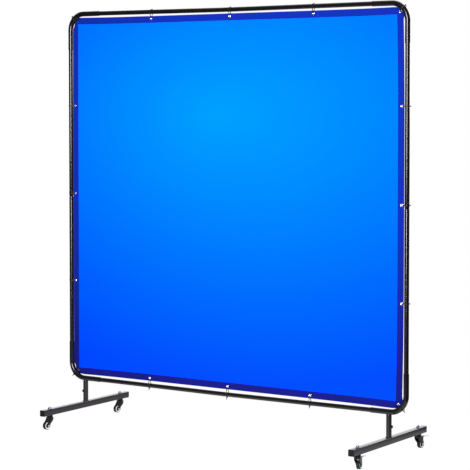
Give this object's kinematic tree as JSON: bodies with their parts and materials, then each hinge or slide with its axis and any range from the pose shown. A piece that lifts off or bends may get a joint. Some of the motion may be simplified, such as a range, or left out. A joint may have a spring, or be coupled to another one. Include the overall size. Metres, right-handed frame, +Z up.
{
  "type": "welding curtain screen",
  "caption": "Free-standing welding screen: a tinted curtain tied into a tubular frame with rounded corners, standing on base bars with swivel casters.",
  "frame": {"origin": "on the floor, below the middle of the frame", "axes": "+Z up, +X to the right seen from the front, -Y towards the front"},
  "size_m": [1.9426, 0.7095, 2.0665],
  "materials": {
    "black_steel": "satin powder coat",
    "curtain_film": "tinted translucent film",
    "cap_plastic": "moulded",
    "tie_nylon": "moulded",
    "zinc_steel": "bright zinc plating",
    "fork_steel": "gloss paint",
    "wheel_plastic": "moulded core with a dark tread"
  },
  "bodies": {
    "frame": {"corner_upper_left": "black_steel", "corner_upper_right": "black_steel", "corner_lower_left": "black_steel", "corner_lower_right": "black_steel", "tube_top_left": "black_steel", "tube_top_right": "black_steel", "tube_bottom_left": "black_steel", "tube_bottom_right": "black_steel", "upright_left_lower": "black_steel", "upright_left_upper": "black_steel", "upright_right_lower": "black_steel", "upright_right_upper": "black_steel", "base_left": "black_steel", "base_right": "black_steel", "lock_bolt_left": "black_steel", "lock_bolt_right": "black_steel", "end_cap_front_left": "cap_plastic", "end_cap_front_right": "cap_plastic", "end_cap_rear_left": "cap_plastic", "end_cap_rear_right": "cap_plastic", "curtain": "curtain_film", "cable_tie_top_1": "tie_nylon", "cable_tie_top_2": "tie_nylon", "cable_tie_top_3": "tie_nylon", "cable_tie_top_4": "tie_nylon", "cable_tie_top_5": "tie_nylon", "cable_tie_bottom_1": "tie_nylon", "cable_tie_bottom_2": "tie_nylon", "cable_tie_bottom_3": "tie_nylon", "cable_tie_bottom_4": "tie_nylon", "cable_tie_bottom_5": "tie_nylon", "cable_tie_left_1": "tie_nylon", "cable_tie_left_2": "tie_nylon", "cable_tie_left_3": "tie_nylon", "cable_tie_right_1": "tie_nylon", "cable_tie_right_2": "tie_nylon", "cable_tie_right_3": "tie_nylon", "caster_stem_front_left": "zinc_steel", "caster_stem_rear_left": "zinc_steel", "caster_stem_front_right": "zinc_steel", "caster_stem_rear_right": "zinc_steel", "caster_nut_front_left": "zinc_steel", "caster_nut_rear_left": "zinc_steel", "caster_nut_front_right": "zinc_steel", "caster_nut_rear_right": "zinc_steel"},
    "swivel_front_left": {"caster_fork_front_left": "fork_steel", "caster_axle_front_left": "zinc_steel"},
    "wheel_front_left": {"caster_wheel_front_left": "wheel_plastic"},
    "swivel_rear_left": {"caster_fork_rear_left": "fork_steel", "caster_axle_rear_left": "zinc_steel"},
    "wheel_rear_left": {"caster_wheel_rear_left": "wheel_plastic"},
    "swivel_front_right": {"caster_fork_front_right": "fork_steel", "caster_axle_front_right": "zinc_steel"},
    "wheel_front_right": {"caster_wheel_front_right": "wheel_plastic"},
    "pedal_front_right": {"brake_pedal_front_right": "zinc_steel"},
    "swivel_rear_right": {"caster_fork_rear_right": "fork_steel", "caster_axle_rear_right": "zinc_steel"},
    "wheel_rear_right": {"caster_wheel_rear_right": "wheel_plastic"},
    "pedal_rear_right": {"brake_pedal_rear_right": "zinc_steel"}
  },
  "joints": [
    {"name": "swivel_turn_front_left", "type": "hinge", "parent": "frame", "child": "swivel_front_left", "pos_m": [-0.871, -0.2845, 0.056], "axis": [0, 0, 1], "continuous": true},
    {"name": "wheel_roll_front_left", "type": "hinge", "parent": "swivel_front_left", "child": "wheel_front_left", "pos_m": [-0.87292, -0.30642, 0.02], "axis": [0.9962, -0.0872, 0], "continuous": true},
    {"name": "swivel_turn_rear_left", "type": "hinge", "parent": "frame", "child": "swivel_rear_left", "pos_m": [-0.871, 0.2845, 0.056], "axis": [0, 0, 1], "continuous": true},
    {"name": "wheel_roll_rear_left", "type": "hinge", "parent": "swivel_rear_left", "child": "wheel_rear_left", "pos_m": [-0.87368, 0.26266, 0.02], "axis": [0.9925, -0.1219, 0], "continuous": true},
    {"name": "swivel_turn_front_right", "type": "hinge", "parent": "frame", "child": "swivel_front_right", "pos_m": [0.871, -0.2845, 0.056], "axis": [0, 0, 1], "continuous": true},
    {"name": "wheel_roll_front_right", "type": "hinge", "parent": "swivel_front_right", "child": "wheel_front_right", "pos_m": [0.8668, -0.2629, 0.02], "axis": [-0.9816, -0.1908, 0], "continuous": true},
    {"name": "pedal_press_front_right", "type": "hinge", "parent": "swivel_front_right", "child": "pedal_front_right", "pos_m": [0.8669, -0.26339, 0.0505], "axis": [-0.9816, -0.1908, 0], "range_deg": [0, 18]},
    {"name": "swivel_turn_rear_right", "type": "hinge", "parent": "frame", "child": "swivel_rear_right", "pos_m": [0.871, 0.2845, 0.056], "axis": [0, 0, 1], "continuous": true},
    {"name": "wheel_roll_rear_right", "type": "hinge", "parent": "swivel_rear_right", "child": "wheel_rear_right", "pos_m": [0.87215, 0.30647, 0.02], "axis": [-0.9986, 0.0523, 0], "continuous": true},
    {"name": "pedal_press_rear_right", "type": "hinge", "parent": "swivel_rear_right", "child": "pedal_rear_right", "pos_m": [0.87213, 0.30597, 0.0505], "axis": [-0.9986, 0.0523, 0], "range_deg": [0, 18]}
  ]
}
